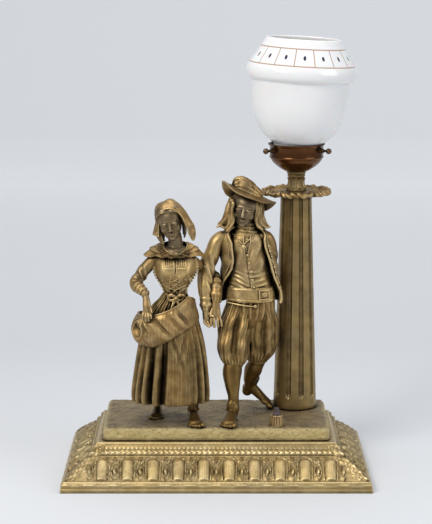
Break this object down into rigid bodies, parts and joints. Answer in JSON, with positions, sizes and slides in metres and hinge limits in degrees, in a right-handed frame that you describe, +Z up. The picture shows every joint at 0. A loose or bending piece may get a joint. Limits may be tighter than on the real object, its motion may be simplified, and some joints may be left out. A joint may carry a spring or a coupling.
{
  "type": "table lamp",
  "caption": "Table lamp: a couple in old country dress stands on a moulded base beside a fluted column that carries an opal glass shade.",
  "frame": {"origin": "centre of the underside of the base, on the surface it stands on", "axes": "+Z up, the front faces -Y, +X towards the column"},
  "size_m": [0.318, 0.204, 0.4551],
  "materials": {
    "base_brass": "antique brass with dark recesses, satin",
    "ground_bronze": "rough cast, brown patina",
    "column_bronze": "olive bronze patina, satin",
    "figure_bronze": "antique bronze patina, worn high spots",
    "fitter_bronze": "dark brown bronze, polished",
    "thumbscrew_metal": "dark bronze, polished",
    "opal_glass": "opal white glass, glossy, with a fired painted band",
    "bulb_glass": "frosted",
    "plate_steel": "black enamel",
    "steel": "zinc plated",
    "bakelite": "black moulded",
    "button_bakelite": "dark brown-purple moulded, worn",
    "porcelain": "white glazed insulating ceramic",
    "lead_cover": "brown insulated lead"
  },
  "bodies": {
    "base": {"base_moulding": "base_brass", "bottom_plate": "plate_steel", "plate_screws": "steel", "cord_bushing": "bakelite", "ground_slab": "ground_bronze", "figure_screws": "steel", "column_shaft": "column_bronze", "leaf_collar": "column_bronze", "column_neck": "column_bronze", "lamp_pipe": "steel", "pipe_washer": "steel", "pipe_nut": "steel", "fitter_nut": "steel", "shade_fitter": "fitter_bronze", "glass_shade": "opal_glass", "lampholder_shell": "fitter_bronze", "lampholder_core": "porcelain", "bulb_cap": "steel", "bulb_globe": "bulb_glass", "switch_pedestal": "base_brass", "switch_body": "bakelite", "switch_nut": "base_brass", "terminal_block": "porcelain", "switch_lead": "lead_cover", "holder_lead": "lead_cover", "woman_skirt": "figure_bronze", "woman_apron": "figure_bronze", "woman_bodice": "figure_bronze", "woman_cape": "figure_bronze", "woman_head": "figure_bronze", "woman_bonnet": "figure_bronze", "woman_right_arm": "figure_bronze", "woman_left_arm": "figure_bronze", "woman_front_foot": "figure_bronze", "woman_back_foot": "figure_bronze", "man_front_leg": "figure_bronze", "man_back_leg": "figure_bronze", "man_breeches": "figure_bronze", "man_sash": "figure_bronze", "man_torso": "figure_bronze", "man_jacket": "figure_bronze", "man_head": "figure_bronze", "man_hair": "figure_bronze", "man_hat": "figure_bronze", "man_right_arm": "figure_bronze", "man_left_arm": "figure_bronze"},
    "switch_button": {"switch_button": "button_bakelite"},
    "thumbscrew_1": {"thumbscrew_1": "thumbscrew_metal"},
    "thumbscrew_2": {"thumbscrew_2": "thumbscrew_metal"},
    "thumbscrew_3": {"thumbscrew_3": "thumbscrew_metal"}
  },
  "joints": [
    {"name": "switch_button_press", "type": "slide", "parent": "base", "child": "switch_button", "axis": [0, 0, -1], "range_m": [0, 0.003], "stiffness_N_per_m": 800},
    {"name": "thumbscrew_1_slide", "type": "slide", "parent": "base", "child": "thumbscrew_1", "axis": [0, 1, 0], "range_m": [0, 0.004]},
    {"name": "thumbscrew_2_slide", "type": "slide", "parent": "base", "child": "thumbscrew_2", "axis": [0.866, -0.5, 0], "range_m": [0, 0.004]},
    {"name": "thumbscrew_3_slide", "type": "slide", "parent": "base", "child": "thumbscrew_3", "axis": [-0.866, -0.5, 0], "range_m": [0, 0.004]}
  ]
}
